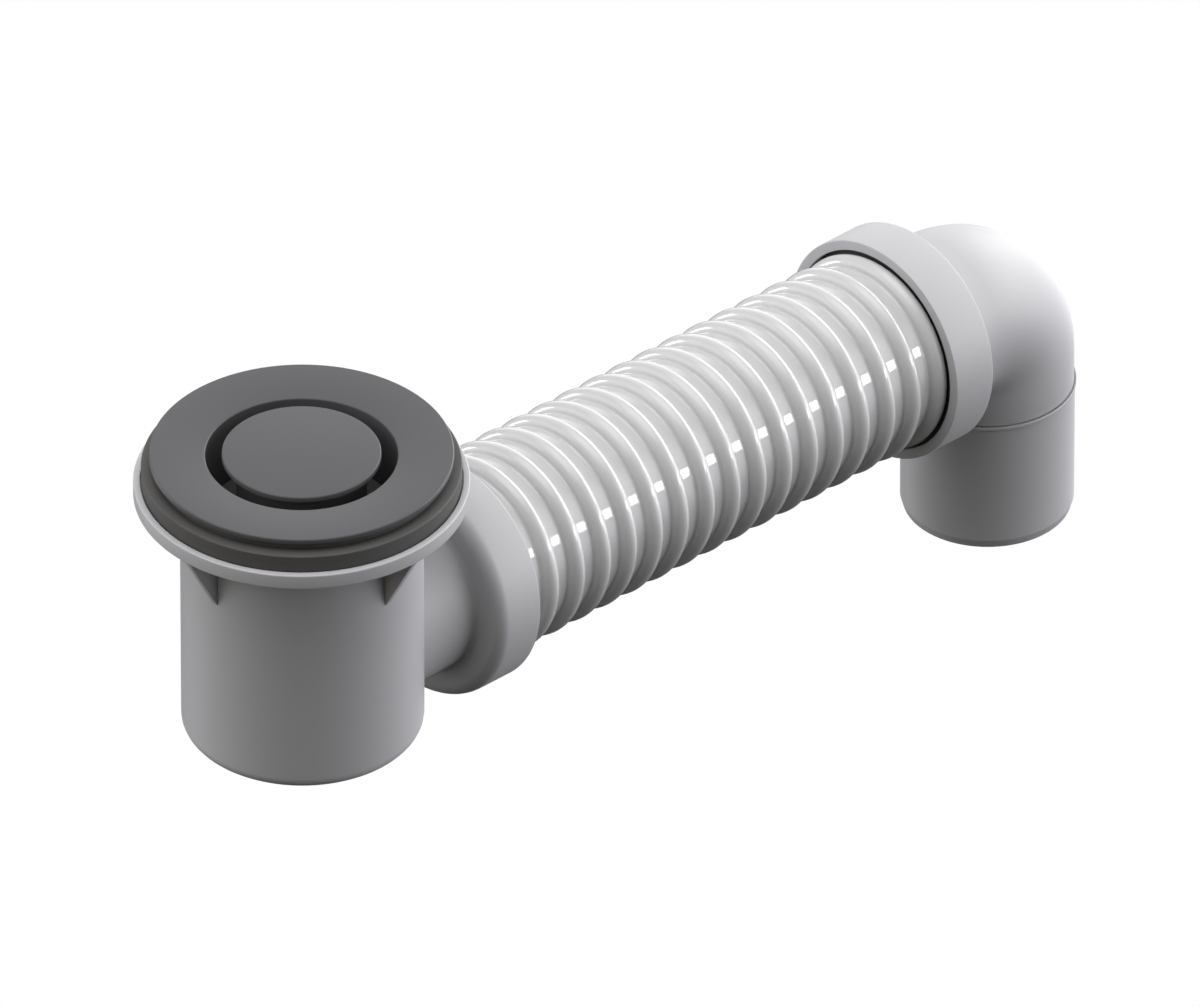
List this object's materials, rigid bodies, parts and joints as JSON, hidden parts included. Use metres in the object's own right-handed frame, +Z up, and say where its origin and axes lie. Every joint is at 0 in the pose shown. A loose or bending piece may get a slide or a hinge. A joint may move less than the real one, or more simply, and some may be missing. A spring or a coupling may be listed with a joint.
{
  "type": "bath pop-up waste",
  "caption": "Bath pop-up waste: slotted drain ring with a lifting plug, grey cup body, white ringed hose and a swivelling outlet elbow.",
  "frame": {"origin": "on the axis of the waste, on the plane between the upper and the lower seal, where the bath floor is clamped", "axes": "+Z up into the bath, +X along the hose towards the outlet elbow, +Y to the left of that"},
  "size_m": [0.279, 0.076, 0.1232],
  "materials": {
    "ring_metal": "satin, dark grey",
    "seal_rubber": "matt",
    "black_plastic": "satin",
    "grey_plastic": "smooth moulded",
    "hose_plastic": "glossy white",
    "cam_plastic": "smooth moulded",
    "brass": "turned",
    "steel": "turned"
  },
  "bodies": {
    "waste": {"top_flange": "ring_metal", "upper_seal": "seal_rubber", "lower_seal": "seal_rubber", "waste_body": "grey_plastic", "body_neck": "grey_plastic", "cartridge_barrel": "brass", "stem_o_ring": "seal_rubber", "barrel_nut": "brass", "return_spring": "steel", "barrel_end_cap": "brass", "flexible_hose": "hose_plastic", "hose_inlet_seal": "seal_rubber", "hose_outlet_seal": "seal_rubber"},
    "plug": {"plug_cap": "ring_metal", "plug_core": "black_plastic", "plug_seal": "seal_rubber", "seal_retainer": "steel", "plug_stem": "steel"},
    "cam": {"latch_rotor": "cam_plastic"},
    "outlet": {"elbow": "grey_plastic", "outlet_tube": "grey_plastic"}
  },
  "joints": [
    {"name": "plug_lift", "type": "slide", "parent": "waste", "child": "plug", "axis": [0, 0, 1], "range_m": [0, 0.008], "deforming": ["return_spring"]},
    {"name": "cam_turn", "type": "hinge", "parent": "plug", "child": "cam", "pos_m": [0, 0, -0.0365], "axis": [0, 0, 1], "range_deg": [0, 45]},
    {"name": "elbow_swivel", "type": "hinge", "parent": "waste", "child": "outlet", "pos_m": [0.18844, 0, -0.05981], "axis": [0.9986, 0, -0.0523], "range_deg": [-90, 90]}
  ],
  "couplings": [
    {"joint": "cam_turn", "follows": "plug_lift", "rad_per_m": 98.17}
  ]
}
